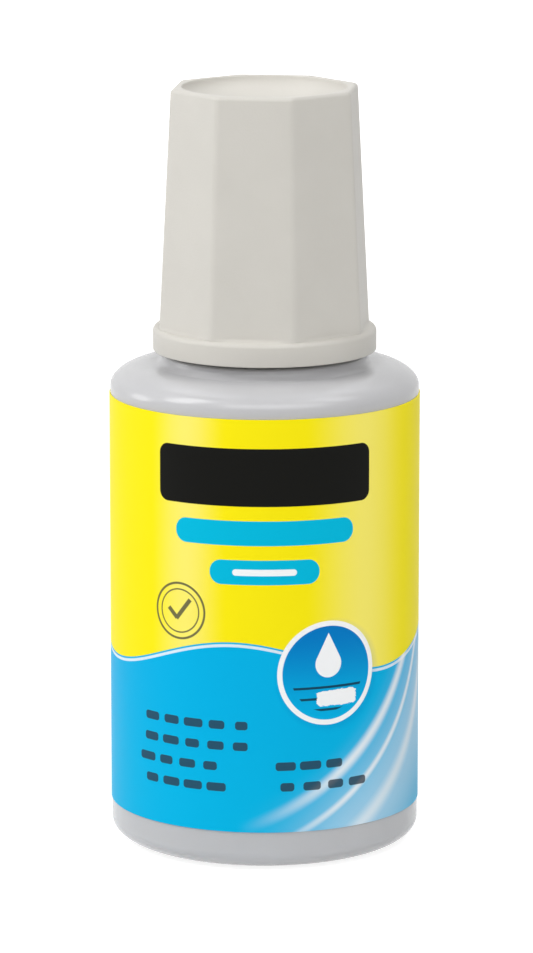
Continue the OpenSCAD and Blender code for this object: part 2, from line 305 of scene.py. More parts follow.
capLook = {
    "light": colour(207, 204, 197), "dark": colour(205, 202, 195), "roughness": 0.42, "gloss": 0.2,
    "grainScale": 5200, "grainStrength": 0.35, "glow": 0.15, "glowDepth": 1.2 * mm,
}
bottleLook = {
    "light": colour(194, 194, 196), "dark": colour(192, 192, 194), "roughness": 0.21, "gloss": 0.4,
    "grainScale": 2600, "grainStrength": 0.22, "glow": 0.5, "glowDepth": 1.5 * mm,
}
wiperLook = {
    "light": colour(222, 225, 229), "dark": colour(216, 219, 223), "roughness": 0.35, "gloss": 0.5,
    "grainScale": 3000, "grainStrength": 0.2, "glow": 0.3, "glowDepth": 1.2 * mm,
}
stemLook = {
    "light": colour(220, 220, 214), "dark": colour(214, 214, 208), "roughness": 0.3, "gloss": 0.5,
    "grainScale": 3000, "grainStrength": 0.15, "glow": 0.3, "glowDepth": 1.2 * mm,
}
capPlastic = plasticFinish("capPlastic", capLook)
bottlePlastic = plasticFinish("bottlePlastic", bottleLook)
wiperPlastic = plasticFinish("wiperPlastic", wiperLook)
stemPlastic = plasticFinish("stemPlastic", stemLook)


foamLook = {
    "light": colour(238, 238, 232), "dark": colour(214, 214, 207), "roughness": 0.8,
    "cellScale": 3800, "cellStrength": 0.6, "cellDepth": 0.08 * mm,
}


def foamFinish(look):  # closed-cell foam of the sealing ring
    material, graph, place = newMaterial("linerFoam")
    cells = graph.node("ShaderNodeTexVoronoi", None, {"Vector": place, "Scale": look["cellScale"]})
    tint = graph.blend(graph.ramp(cells, 0.1, 0.6), look["light"], look["dark"])
    bump = graph.node("ShaderNodeBump", None, {
        "Strength": look["cellStrength"], "Distance": look["cellDepth"], "Height": cells})
    shade(graph, {"Base Color": tint, "Roughness": look["roughness"], "Normal": bump})
    return material


nylonLook = {
    "dark": colour(226, 221, 204), "light": colour(240, 237, 226), "wet": colour(246, 246, 244),
    "wetBelow": 3, "dryAbove": 10, "streakScales": (9000, 9000, 300), "roughness": 0.3, "dryRoughness": 0.15,
}


def nylonFinish(look):  # bristles, streaked along their length and wet with fluid at the tip
    material, graph, place = newMaterial("bristleNylon")
    height = graph.node("ShaderNodeSeparateXYZ", None, {0: place}, "Z")
    dry = graph.ramp(height, (tuftLow.z + look["wetBelow"]) * mm, (tuftLow.z + look["dryAbove"]) * mm)
    streak = graph.noise(graph.vector("MULTIPLY", place, look["streakScales"]), 1, 2)
    tint = graph.blend(streak, look["dark"], look["light"])
    tint = graph.blend(dry, look["wet"], tint)
    shade(graph, {"Base Color": tint, "Roughness": look["roughness"] + dry * look["dryRoughness"]})
    return material


steelLook = {
    "bright": colour(225, 226, 229), "scratchScales": (8000, 900, 8000), "scratchStrength": 0.1,
    "scratchDepth": 0.02 * mm, "scratchRoughness": 0.12,
    "anchor": {"tone": colour(190, 192, 196), "roughness": 0.25},
    "ball": {"tone": colour(205, 206, 210), "roughness": 0.08},
}


def steelFinish(name, look, tone, roughness):  # drawn or rolled steel with fine scratches
    material, graph, place = newMaterial(name)
    scratch = graph.noise(graph.vector("MULTIPLY", place, look["scratchScales"]), 1, 3)
    tint = graph.blend(scratch, tone, look["bright"])
    bump = graph.node("ShaderNodeBump", None, {
        "Strength": look["scratchStrength"], "Distance": look["scratchDepth"], "Height": scratch})
    rough = roughness + scratch * look["scratchRoughness"]
    shade(graph, {"Base Color": tint, "Metallic": 1.0, "Roughness": rough, "Normal": bump})
    return material


fluidLook = {
    "dark": colour(243, 243, 242), "light": colour(250, 250, 249), "swirlScale": 160,
    "roughness": 0.16, "swirlRoughness": 0.08,
}


def fluidFinish(look):
    material, graph, place = newMaterial("whiteFluid")
    swirl = graph.noise(place, look["swirlScale"], 3)
    tint = graph.blend(swirl, look["dark"], look["light"])
    shade(graph, {"Base Color": tint, "Roughness": look["roughness"] + swirl * look["swirlRoughness"]})
    return material


linerFoam = foamFinish(foamLook)
bristleNylon = nylonFinish(nylonLook)
anchorSteel = steelFinish("anchorSteel", steelLook, **steelLook["anchor"])
ballSteel = steelFinish("ballSteel", steelLook, **steelLook["ball"])
whiteFluid = fluidFinish(fluidLook)
print("plain finishes ready")


# The printed film. Places on it are arc length from the middle of the front and height, in millimetres
printLook = {
    # the paler yellow tints two upright bands of painted sheen, which stand for soft highlights
    "yellow": colour(253, 236, 16), "paintedSheenYellow": colour(253, 246, 190),
    "blue": colour(0, 178, 230), "paleBlue": colour(0, 182, 230), "barBlue": colour(0, 186, 222),
    "deepBlue": colour(2, 120, 196), "dark": colour(22, 22, 20), "white": colour(250, 251, 252),
    "ink": colour(44, 52, 66), "panelWhite": colour(237, 239, 241),
    "wave": {"height": 21.05, "rise": 1.7, "count": 3, "shift": 3,
             "lineDrop": 0.32, "lineHalf": 0.14, "lineStrength": 0.75},
    "darkBar": {"x": 0, "y": 38.8, "w": 21.8, "h": 5.6, "r": 1},
    "longBar": {"x": 0, "y": 33.4, "w": 17.9, "h": 2.4, "r": 1.15},
    "shortBar": {"x": 0, "y": 29.6, "w": 10.7, "h": 2.4, "r": 1.15},
    "barLine": {"x": 0, "y": 29.6, "w": 6.2, "h": 0.62, "r": 0.3},
    "disc": {"x": 6.3, "y": 19.55, "r": 5.1, "border": 0.5, "fade": 5},
    # what the disc holds and its shadow are placed from its middle
    "discShadow": {"x": 0.25, "y": -0.3, "edge": 1.2, "strength": 0.35},
    "drop": {"y": 0.9, "r": 1.35, "sideX": 0.894, "sideY": 0.447, "sideFrom": 0.55},
    "ruled": {"low": -3.05, "gap": 0.55, "half": 0.12, "y": -2.5, "reach": 1.25, "inset": 1.3,
              "strength": 0.85},
    "stroke": {"x": 0.9, "y": -2.5, "w": 4.2, "h": 1.5, "r": 0.35},
    "strokeEdge": {"scale": 1.6, "stretch": 3, "depth": 0.5},
    "seal": {"x": -8.6, "y": 25.4, "r": 2.7, "line": 0.22, "innerShare": 0.78, "strength": 0.85},
    # each arm of the seal's tick: place from its middle, angle, length and width
    "tick": ((-0.75, -0.25, -45, 1.35, 0.42), (0.42, 0.2, 52, 2.5, 0.42)),
    "sweeps": {"x": -14, "y": 38, "arcs": ((35.6, 0.9, 0.75), (38.2, 0.55, 0.6), (41.5, 1.3, 0.35)),
               "glow": (42.0, 9.0, 0.4), "from": -3, "full": 9},
    # two upright bands of painted sheen in the yellow, which stand for soft highlights: their middles, widths
    # and strength
    "paintedSheenBands": ({"x": -7.9, "w": 4.3}, {"x": 10.4, "w": 6.6}), "paintedSheenStrength": 0.3,
    "leftRows": {"left": -13.2, "top": 15.6, "lines": 4, "dashes": 5, "ragged": 1.2, "seed": 3},
    "rightRows": {"left": 1.6, "top": 11.6, "lines": 2, "dashes": 5, "ragged": 1.2, "seed": 12},
    "backPanel": {"x": 33.75, "y": 32.4, "w": 20, "h": 18.4, "r": 1.5},
    "backRows": {"left": 24.6, "top": 40.4, "lines": 8, "dashes": 7, "ragged": 0, "seed": 25},
    "lowRows": {"left": 24.6, "top": 15.4, "lines": 4, "dashes": 6, "ragged": 0, "seed": 41},
    "dash": {"pitch": 2.45, "line": 2.05, "short": 1.2, "long": 2.15, "tall": 0.84, "r": 0.3,
             "fewer": 2.5, "strength": 0.88},
    "otherSide": 7, "softEdge": 0.05,
    "roughness": 0.42, "gloss": 0.05, "rippleScale": 260, "rippleRoughness": 0.06,
    "rippleStrength": 0.05, "rippleDepth": 0.1 * mm,
}


def printMaterial(look):
    material, graph, place = newMaterial("labelPrint")
    aside = graph.node("ShaderNodeSeparateXYZ", None, {0: place}, "X")
    front = aside.other("Y") * -1
    u = graph.maths("ARCTAN2", aside, front) * filmRadius
    v = aside.other("Z") / mm
    soft = look["softEdge"]

    def inside(distance, edge=soft):  # 1 inside the outline, 0 outside, with a fine soft edge
        return graph.maths("MULTIPLY_ADD", distance, -1 / edge, 0.5, clamp=True)

    def roundBox(across, up, w, h, r):
        across = graph.highest(abs(across) - (w / 2 - r), 0)
        up = graph.highest(abs(up) - (h / 2 - r), 0)
        return graph.maths("SQRT", across * across + up * up) - r

    def barDistance(x, y, w, h, r):
        return roundBox(u - x, v - y, w, h, r)

    def circleDistance(x, y, r):
        across = u - x
        up = v - y
        return graph.maths("SQRT", across * across + up * up) - r

    # yellow field, with a paler upright band of painted sheen on each side of the front, over a blue one,
    # parted by a wave
    wave = look["wave"]
    swing = graph.maths("COSINE", (u + wave["shift"]) * (wave["count"] / filmRadius))
    line = wave["height"] + swing * wave["rise"]
    below = inside(v - line)
    depth = graph.ramp(v, labelLow.z, wave["height"])
    blueField = graph.blend(depth, look["paleBlue"], look["blue"])

    # pale sweeps of light that rise across the blue field
    sweeps = look["sweeps"]

    def sweep(r, width, strength):
        away = abs(circleDistance(sweeps["x"], sweeps["y"], r))
        near = graph.maths("SUBTRACT", 1, away / width, clamp=True)
        return graph.ramp(near, 0.0, 1.0) * strength

    light = sum((sweep(*each) for each in sweeps["arcs"]), sweep(*sweeps["glow"]))
    fade = graph.ramp(u, sweeps["from"], sweeps["full"])
    blueField = graph.blend(graph.maths("MULTIPLY", light, fade, clamp=True), blueField, look["white"])
    whiteWave = inside(abs(v - line + wave["lineDrop"]) - wave["lineHalf"])
    # painted sheen: the yellow is paler in two upright bands where soft highlights would fall
    pale = sum((graph.ramp(abs(u - band["x"]), band["w"], 0.0) for band in look["paintedSheenBands"]), 0)
    yellowField = graph.blend(pale * look["paintedSheenStrength"], look["yellow"], look["paintedSheenYellow"])
    plain = graph.blend(below, yellowField, blueField)
    plain = graph.blend(whiteWave * wave["lineStrength"], plain, look["white"])
    field = plain

    # bars with round corners
    bars = {"darkBar": "dark", "longBar": "barBlue", "shortBar": "barBlue", "barLine": "white"}
    for bar, tint in bars.items():
        field = graph.blend(inside(barDistance(**look[bar])), field, look[tint])

    # round picture: a drop over ruled lines that a white stroke has covered in part
    disc = look["disc"]
    rim = circleDistance(disc["x"], disc["y"], disc["r"])
    fall = look["discShadow"]
    shadow = inside(circleDistance(disc["x"] + fall["x"], disc["y"] + fall["y"], disc["r"]), fall["edge"])
    field = graph.blend(shadow * fall["strength"], field, look["deepBlue"])
    field = graph.blend(inside(rim), field, look["white"])
    height = graph.ramp(v, disc["y"] - disc["fade"], disc["y"] + disc["fade"])
    picture = graph.blend(height, look["blue"], look["deepBlue"])
    field = graph.blend(inside(rim + disc["border"]), field, picture)
    drop = look["drop"]
    dropX = u - disc["x"]
    dropY = v - (disc["y"] + drop["y"])
    foot = graph.maths("SQRT", dropX * dropX + dropY * dropY) - drop["r"]
    sides = abs(dropX) * drop["sideX"] + dropY * drop["sideY"] - drop["r"]
    cone = graph.highest(sides, drop["sideFrom"] - dropY)
    field = graph.blend(inside(graph.lowest(foot, cone)), field, look["white"])
    ruled = look["ruled"]
    lines = graph.maths("PINGPONG", v - (disc["y"] + ruled["low"]), ruled["gap"])
    lines = abs(lines - ruled["gap"]) - ruled["half"]
    lines = graph.highest(lines, abs(v - (disc["y"] + ruled["y"])) - ruled["reach"])
    lines = graph.highest(lines, rim + ruled["inset"])
    field = graph.blend(inside(lines) * ruled["strength"], field, look["dark"])
    stroke = look["stroke"]
    edge = look["strokeEdge"]
    cover = barDistance(disc["x"] + stroke["x"], disc["y"] + stroke["y"],
                        stroke["w"], stroke["h"], stroke["r"])
    ragged = graph.noise(graph.join(u, v * edge["stretch"], 0.0), edge["scale"], 2) - 0.5
    field = graph.blend(inside(cover + ragged * edge["depth"]), field, look["white"])

    # a seal: two plain rings, the inner one drawn finer, with a tick
    seal = look["seal"]
    ring = abs(circleDistance(seal["x"], seal["y"], seal["r"])) - seal["line"] / 2
    innerRing = abs(circleDistance(seal["x"], seal["y"], seal["r"] * seal["innerShare"])) - seal["line"] / 3

    def arm(x, y, angle, length, wide):
        turn = math.radians(angle)
        x += seal["x"]
        y += seal["y"]
        along = (u - x) * math.cos(turn) + (v - y) * math.sin(turn)
        beside = (v - y) * math.cos(turn) - (u - x) * math.sin(turn)
        return graph.highest(abs(along) - length / 2, abs(beside) - wide / 2)

    tick = graph.lowest(*[arm(*each) for each in look["tick"]])
    mark = graph.lowest(graph.lowest(ring, innerRing), tick)
    field = graph.blend(inside(mark) * seal["strength"], field, look["ink"])

    # rows of short dashes with round ends, each of its own length
    dash = look["dash"]

    def chance(x, y):
        return graph.node("ShaderNodeTexWhiteNoise", {"noise_dimensions": "2D"},
                          {"Vector": graph.join(x, y, 0.0)})

    def rows(along, shift, left, top, lines, dashes, ragged, seed):
        seed = shift + seed
        row = graph.maths("FLOOR", (top - v) / dash["line"])
        indent = left - chance(row, seed + 0.5) * ragged
        slot = graph.maths("FLOOR", (along - indent) / dash["pitch"])
        length = chance(slot + seed, row) * (dash["long"] - dash["short"]) + dash["short"]
        across = along - indent - (slot + 0.5) * dash["pitch"]
        up = v - top + (row + 0.5) * dash["line"]
        mark = roundBox(across, up, length, dash["tall"], dash["r"])
        used = dashes - graph.maths("FLOOR", chance(row + 0.5, seed) * dash["fewer"])
        outsideRow = graph.highest(-0.5 - slot, slot - used + 0.5)
        outsideLines = graph.highest(-0.5 - row, row - lines + 0.5)
        return graph.highest(mark, graph.highest(outsideRow, outsideLines))

    frontRows = graph.lowest(rows(u, 0, **look["leftRows"]), rows(u, 0, **look["rightRows"]))
    field = graph.blend(inside(frontRows) * dash["strength"], field, look["ink"])

    # the back half has its own print: a white panel of dashes on each side of the overlap
    panel = look["backPanel"]
    leftSide = graph.maths("LESS_THAN", u, 0)
    along = u + leftSide * (2 * panel["x"])  # the left panel stands as far from the front
    shift = leftSide * look["otherSide"]  # so that the two sides get other dashes
    sheet = roundBox(along - panel["x"], v - panel["y"], panel["w"], panel["h"], panel["r"])
    backField = graph.blend(inside(sheet), plain, look["panelWhite"])
    backRows = graph.lowest(rows(along, shift, **look["backRows"]), rows(along, shift, **look["lowRows"]))
    backField = graph.blend(inside(backRows) * dash["strength"], backField, look["ink"])
    field = graph.blend(inside(front / mm), field, backField)
    ripple = graph.noise(graph.vector("MULTIPLY", place, (1, 1, 0.5)), look["rippleScale"], 1)
    bump = graph.node("ShaderNodeBump", None, {
        "Strength": look["rippleStrength"], "Distance": look["rippleDepth"], "Height": ripple})
    rough = look["roughness"] + (ripple - 0.5) * look["rippleRoughness"]
    shade(graph, {"Base Color": field, "Roughness": rough, "Normal": bump,
                  "Specular IOR Level": look["gloss"]})
    return material


labelPrint = printMaterial(printLook)
print("label print ready")


# Blown bottle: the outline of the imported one, with finer steps
bottleSizes = {
    "wall": 1.0, "floor": 1.2, "heelWide": 3.5, "heelTall": 2.0, "pushUp": 1.0, "standWide": 1.6,
    "shoulderWide": 4.1, "shoulderTall": 2.2, "bodyHeight": 47.25, "neckRadius": 7.3, "neckWall": 1.4,
    "rootRadius": 0.6, "rimRadius": 0.3, "beadRadius": 9.9, "beadTall": 1.0,
    "beadFootWide": 0.95, "beadFootTall": 0.65, "beadEdge": 0.3, "domeSteps": 12,
}


def makeBottle(s):
    stand = bodyRadius - s["heelWide"]
    dome = stand - s["standWide"]
    shoulderX = bodyRadius - s["shoulderWide"]
    shoulderZ = s["bodyHeight"] - s["shoulderTall"]
    inner = bodyRadius - s["wall"]
    bore = s["neckRadius"] - s["neckWall"]
    half = s["wall"] / 2
    root = s["rootRadius"]
    rim = s["rimRadius"]
    steps = s["domeSteps"]
    domeRise = [(dome * i / steps, s["pushUp"] * (1 - (i / steps) ** 2)) for i in range(steps + 1)]
    outside = domeRise + quarter(stand, s["heelTall"], s["heelWide"], s["heelTall"], -90, 0, 24)
    outside += [(bodyRadius, labelLow.z), (bodyRadius, labelHigh.z)]
    outside += quarter(shoulderX, shoulderZ, s["shoulderWide"], s["shoulderTall"], 0, 90, 24)
    # a low bead round the neck's foot, just under the cap's collar
    beadTop = s["bodyHeight"] + s["beadTall"]
    foot = s["beadFootWide"]
    footTall = s["beadFootTall"]
    edge = s["beadEdge"]
    outside += quarter(s["beadRadius"] + foot, s["bodyHeight"] + footTall, foot, footTall, -90, -180, 10)
    outside += quarter(s["beadRadius"] - edge, beadTop - edge, edge, edge, 0, 90, 6)
    outside += quarter(s["neckRadius"] + root, beadTop + root, root, root, -90, -180, 8)
    outside += quarter(s["neckRadius"] - rim, rimHeight - rim, rim, rim, 0, 90, 6)
    inside = [(x, z + s["floor"]) for x, z in domeRise]
    inside += quarter(stand, s["floor"] + s["heelTall"] - half, s["heelWide"] - s["wall"],
                      s["heelTall"] - half, -90, 0, 12)
    inside += quarter(shoulderX, shoulderZ, s["shoulderWide"] - s["wall"],
                      s["shoulderTall"] - s["wall"], 0, 90, 12)
    inside += quarter(bore + root, s["bodyHeight"] - s["wall"] + root, root, root, -90, -180, 6)
    inside += [(bore, rimHeight)]
    return lathe("bottleShell", outside + inside[::-1], bottlePlastic)


bottleShell = makeBottle(bottleSizes)
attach(bottleShell, "bottle")
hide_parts("bottle")

neckThreadSizes = {
    "Steps": 120, "Turns": 1.6, "Pitch": 3.0 * mm, "Wall Radius": 7.3 * mm, "Start Height": 50.9 * mm,
    "Depth": 0.95 * mm, "Base Width": 1.5 * mm, "Crest Width": 0.6 * mm, "Edge Radius": 0.12 * mm,
    "Fade Turns": 0.16,
}
neckThread = growThread("neckThread", neckThreadSizes, bottlePlastic)
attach(neckThread, "bottle")
print("bottle and neck thread made")


# Wrapped film: one strip whose free end lies over the other at the back
filmSizes = {"thick": 0.095, "overlap": 4.0, "ramp": 0.6, "columns": 240, "edge": 0.02}


def makeFilm(s):
    mesh = bmesh.new()
    half = s["overlap"] / 2 / bodyRadius
    start = math.pi / 2 - half  # the overlap's middle is at the back
    sweep = fullTurn + 2 * half
    rings = []
    for i in range(s["columns"] + 1):
        turn = sweep * i / s["columns"]
        left = (sweep - turn) * bodyRadius - s["overlap"]  # the arc still to go before the overlap
        lift = s["thick"] * min(1, max(0, 1 - left / s["ramp"]))
        low = bodyRadius + lift
        high = low + s["thick"]
        z0 = labelLow.z
        z1 = labelHigh.z
        section = [(low, z0), (high - s["edge"], z0), (high, z0 + s["edge"]),
                   (high, z1 - s["edge"]), (high - s["edge"], z1), (low, z1)]
        angle = start + turn
        rings.append([(r * math.cos(angle), r * math.sin(angle), z) for r, z in section])
    skinRings(mesh, rings)
    mesh.verts.ensure_lookup_table()
    count = len(rings[0])
    mesh.faces.new(mesh.verts[:count])
    mesh.faces.new(mesh.verts[-count:])
    return closeMesh(mesh, "labelFilm", labelPrint)


labelFilm = makeFilm(filmSizes)
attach(labelFilm, "bottle")
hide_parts("label")
print("label wrapped")


# Screw cap: rings of points from the boss's hole, down and round the mouth, up to the dish
capSizes = {
    "sides": 8, "flatRadius": 9.8, "draft": 2.75, "turn": 38.3, "cornerRadius": 1.05,
    "cornerSteps": 8, "flatSteps": 12, "upSteps": 8,
    "collarTall": 2.3, "collarEdge": 0.5, "lowerEdge": 0.12, "rootRadius": 0.35, "rootSteps": 6,
    "topEdge": 0.4,
    "dishRadius": 7.98, "dishDeep": 2.2, "dishEdge": 0.08, "boreRadius": 8.5, "entry": 0.8,
    "coreRadius": 7.38, "coreLowRadius": 7.91, "coreEdge": 0.8, "ceiling": 70.8,
    "bossRadius": 3.1, "bossHole": 2.15, "bossLow": 56.2, "bossEdge": 0.15, "holeTop": 66.85,
    "ribs": 8, "ribThick": 0.8, "ribInner": 2.6, "ribOuter": 8.2, "ribSink": 0.2,
}


def octagonRing(flatRadius, cornerRadius, s):
    half = 180 / s["sides"]  # from the middle of a flat to a corner, in degrees
    reach = (flatRadius - cornerRadius) / math.cos(math.radians(half))
    points = []
    for k in range(s["sides"]):
        middle = math.radians(s["turn"] + (2 * k + 1) * half)
        cx = reach * math.cos(middle)
        cy = reach * math.sin(middle)
        for i in range(s["cornerSteps"] + 1):
            a = middle + math.radians(half * (2 * i / s["cornerSteps"] - 1))
            points.append((cx + cornerRadius * math.cos(a), cy + cornerRadius * math.sin(a)))
        ahead = math.radians(s["turn"] + (2 * k + 3) * half)
        a = ahead - math.radians(half)
        nextX = reach * math.cos(ahead) + cornerRadius * math.cos(a)
        nextY = reach * math.sin(ahead) + cornerRadius * math.sin(a)
        lastX, lastY = points[-1]
        for i in range(1, s["flatSteps"]):
            t = i / s["flatSteps"]
            points.append((lastX + (nextX - lastX) * t, lastY + (nextY - lastY) * t))
    return points


def makeCap(s):
    grip = capLow.z + s["collarTall"]
    slope = math.tan(math.radians(s["draft"]))
    collar = capHigh.x
    edge = s["collarEdge"]
    directions = [math.atan2(y, x) for x, y in octagonRing(s["flatRadius"], s["cornerRadius"], s)]

    def roundRing(r, z):
        return [(0, 0, z)] if r < 1e-6 else [(r * math.cos(a), r * math.sin(a), z) for a in directions]

    def gripRing(z, inset=0):
        flat = s["flatRadius"] - (z - grip) * slope - inset
        return [(x, y, z) for x, y in octagonRing(flat, s["cornerRadius"] - inset, s)]

    def outerRing(r, z):  # whichever stands further out, the collar or the grip inside it
        return [max(pair, key=lambda p: math.hypot(p[0], p[1])) for pair in zip(roundRing(r, z), gripRing(z))]

    def rootRing(angle):  # the small hollow curve between the collar's top and the flats
        a = math.radians(angle)
        z = grip + s["rootRadius"] * (1 - math.cos(a))
        spread = gripRing(z, s["rootRadius"] * (math.sin(a) - 1))
        ring = []
        for wide, narrow in zip(spread, gripRing(z)):
            limit = max(collar - edge, math.hypot(narrow[0], narrow[1]))
            scale = min(1, limit / math.hypot(wide[0], wide[1]))
            ring.append((wide[0] * scale, wide[1] * scale, z))
        return ring

    boss = s["bossEdge"]
    inner = [(0, s["holeTop"]), (s["bossHole"], s["holeTop"]), (s["bossHole"], s["bossLow"] + boss),
             (s["bossHole"] + boss, s["bossLow"]), (s["bossRadius"] - boss, s["bossLow"]),
             (s["bossRadius"], s["bossLow"] + boss), (s["bossRadius"], s["ceiling"])]
    core = s["coreEdge"]
    inner += quarter(s["coreRadius"] - core, s["ceiling"] - core, core, core, 90, 0, 8)
    inner += [(s["coreLowRadius"], seatHeight), (s["boreRadius"], seatHeight),
              (s["boreRadius"], capLow.z + s["entry"]), (s["boreRadius"] + s["entry"], capLow.z)]
    low = s["lowerEdge"]
    rings = [roundRing(r, z) for r, z in inner]
    rings += [roundRing(r, z) for r, z in quarter(collar - low, capLow.z + low, low, low, -90, 0, 4)]
    rings += [outerRing(r, z) for r, z in quarter(collar - edge, grip - edge, edge, edge, 0, 90, 12)]
    rings += [rootRing(90 * i / s["rootSteps"]) for i in range(s["rootSteps"] + 1)]
    root = grip + s["rootRadius"]
    crest = capHigh.z - s["topEdge"]
    steps = s["upSteps"]
    rings += [gripRing(root + (crest - root) * i / steps) for i in range(1, steps + 1)]
    for i in range(1, steps + 1):
        a = math.radians(90 * i / steps)
        rings.append([(x, y, crest + s["topEdge"] * math.sin(a))
                      for x, y, z in gripRing(crest, s["topEdge"] * (1 - math.cos(a)))])
    lip = s["dishEdge"]
    dish = [(s["dishRadius"] + lip, capHigh.z), (s["dishRadius"], capHigh.z - lip)]
    dish += quarter(0, capHigh.z - lip, s["dishRadius"], s["dishDeep"] - lip, -6, -90, 20)
    rings += [roundRing(r, z) for r, z in dish]
    mesh = bmesh.new()
    skinRings(mesh, rings)
    return closeMesh(mesh, "capShell", capPlastic)


def makeRibs(s):
    inputs = {
        "Count": s["ribs"], "Inner": s["ribInner"] * mm, "Outer": s["ribOuter"] * mm,
        "Thickness": s["ribThick"] * mm, "Low": seatHeight * mm,
        "High": (s["ceiling"] + s["ribSink"]) * mm, "Turn": math.radians(s["turn"]),
    }
    graph, given = geometryTree("capRibsTree", inputs)
    tall = given["High"] - given["Low"]
    size = graph.join(given["Outer"] - given["Inner"], given["Thickness"], tall)
    rib = graph.node("GeometryNodeMeshCube", None, {"Size": size})
    middle = (given["Outer"] + given["Inner"]) * 0.5
    rib = graph.node("GeometryNodeTransform", None, {
        "Geometry": rib, "Translation": graph.join(middle, 0.0, given["Low"] + tall * 0.5)})
    spots = graph.node("GeometryNodePoints", None, {"Count": given["Count"]})
    number = graph.node("GeometryNodeInputIndex")
    turn = graph.join(0.0, 0.0, number * fullTurn / given["Count"] + given["Turn"])
    ribs = graph.node("GeometryNodeInstanceOnPoints", None, {
        "Points": spots, "Instance": rib, "Rotation": turn})
    return growPiece("capRibs", graph, ribs, inputs, capPlastic)


capShell = makeCap(capSizes)
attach(capShell, "cap")
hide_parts("cap")
capRibs = makeRibs(capSizes)
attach(capRibs, "cap")

capThreadSizes = {
    # the start height lays these turns under the neck's, so that the two bear on each other
    "Steps": 120, "Turns": 1.35, "Pitch": 3.0 * mm, "Wall Radius": 8.5 * mm, "Start Height": 52.83 * mm,
    "Depth": -0.95 * mm, "Base Width": 1.5 * mm, "Crest Width": 0.6 * mm, "Edge Radius": 0.12 * mm,
    "Fade Turns": 0.16,
}
capThread = growThread("capThread", capThreadSizes, capPlastic)
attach(capThread, "cap")
print("cap, ribs and cap thread made")


# Foam ring between the cap and the rim
linerSizes = {"radius": 7.35, "hole": 3.7, "edge": 0.12}


def makeLiner(s):
    edge = s["edge"]
    low = linerLow.z + edge
    high = linerHigh.z - edge
    outline = quarter(s["radius"] - edge, low, edge, edge, -90, 0, 4)
    outline += quarter(s["radius"] - edge, high, edge, edge, 0, 90, 4)
    outline += quarter(s["hole"] + edge, high, edge, edge, 90, 180, 4)
    outline += quarter(s["hole"] + edge, low, edge, edge, 180, 270, 4)
    return lathe("sealingRing", outline, linerFoam, closed=True)


sealingRing = makeLiner(linerSizes)
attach(sealingRing, "liner")
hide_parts("cap_liner")

# Wiper in the neck: flange, tube, and funnel down to the lip
wiperSizes = {
    "plugRadius": 5.85, "plugWall": 0.9, "flangeRadius": 7.0, "flangeTall": 0.8, "funnelTall": 1.6,
    "lipTall": 0.6, "lipHole": 2.4, "lipEdge": 0.1, "edge": 0.15,
}


def makeWiper(s):
    tube = s["plugRadius"] - s["plugWall"]
    low = wiperLow.z
    high = wiperHigh.z
    lipTop = low + s["lipTall"]
    lip = s["lipEdge"]
    edge = s["edge"]
    outline = [(s["plugRadius"], high - s["flangeTall"]), (s["flangeRadius"], high - s["flangeTall"])]
    outline += quarter(s["flangeRadius"] - edge, high - edge, edge, edge, 0, 90, 4)
    outline += quarter(tube + 2 * edge, high - 2 * edge, 2 * edge, 2 * edge, 90, 180, 5)
    outline += [(tube, lipTop + s["funnelTall"]), (s["lipHole"] + lip, lipTop + lip / 2),
                (s["lipHole"], lipTop - lip), (s["lipHole"], low),
                (tube, low + s["funnelTall"] - 2 * edge), (s["plugRadius"], lipTop + s["funnelTall"])]
    return lathe("neckWiper", outline, wiperPlastic, closed=True)


neckWiper = makeWiper(wiperSizes)
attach(neckWiper, "bottle")
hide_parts("wiper_insert")

# Stem: shank, stop ring, and a taper down to the tuft's hole
stemSizes = {
    "radius": 2.1, "topEdge": 0.3, "stopRadius": 2.6, "stopTall": 0.8, "stopHigh": 56.2, "stopEdge": 0.1,
    "endRadius": 1.8, "tuftHole": 1.45, "holeDeep": 4.5,
}


def makeStem(s):
    low = stemLow.z
    high = stemHigh.z
    stopLow = s["stopHigh"] - s["stopTall"]
    step = s["stopRadius"] - s["radius"]
    edge = s["stopEdge"]
    rim = (s["endRadius"] - s["tuftHole"]) / 2
    outline = [(0, low + s["holeDeep"]), (s["tuftHole"], low + s["holeDeep"])]
    outline += quarter(s["endRadius"] - rim, low + rim, rim, rim, -180, 0, 8)
    outline += [(s["endRadius"], low + s["holeDeep"]), (s["radius"], stopLow - step),
                (s["stopRadius"] - edge / 2, stopLow), (s["stopRadius"], stopLow + edge / 2),
                (s["stopRadius"], s["stopHigh"] - edge), (s["stopRadius"] - edge, s["stopHigh"]),
                (s["radius"], s["stopHigh"]), (s["radius"], high - s["topEdge"]),
                (s["radius"] - s["topEdge"], high), (0, high)]
    return lathe("brushStem", outline, stemPlastic, steps=96)


brushStem = makeStem(stemSizes)
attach(brushStem, "brush")
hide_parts("brush_stem")
print("sealing ring, wiper and stem made")


# Tuft of bristles: strands in a spiral pattern, bowed out in the middle and drawn in at the tip
tuftTop = stemLow.z + 1.5  # the strands start this high, inside the stem's hole
tuftSizes = {
    "Strands": 260, "Root Radius": 1.32 * mm, "Top": tuftTop * mm, "Length": (tuftTop - tuftLow.z) * mm,
    "Bulge": 0.3, "Bulge From": 0.1, "Draw In": 0.72, "Draw From": 0.5, "Shortest": 0.93, "Seed": 7,
    "Steps": 12, "Strand Radius": 0.055 * mm, "Sides": 6, "Tip Taper": 0.75, "Taper From": 0.8,
    "Stray": 0.09 * mm,
}
goldenTurn = math.radians(137.508)  # the turn from one strand's root to the next
strayScales = (900, 900, 160)  # waves per metre


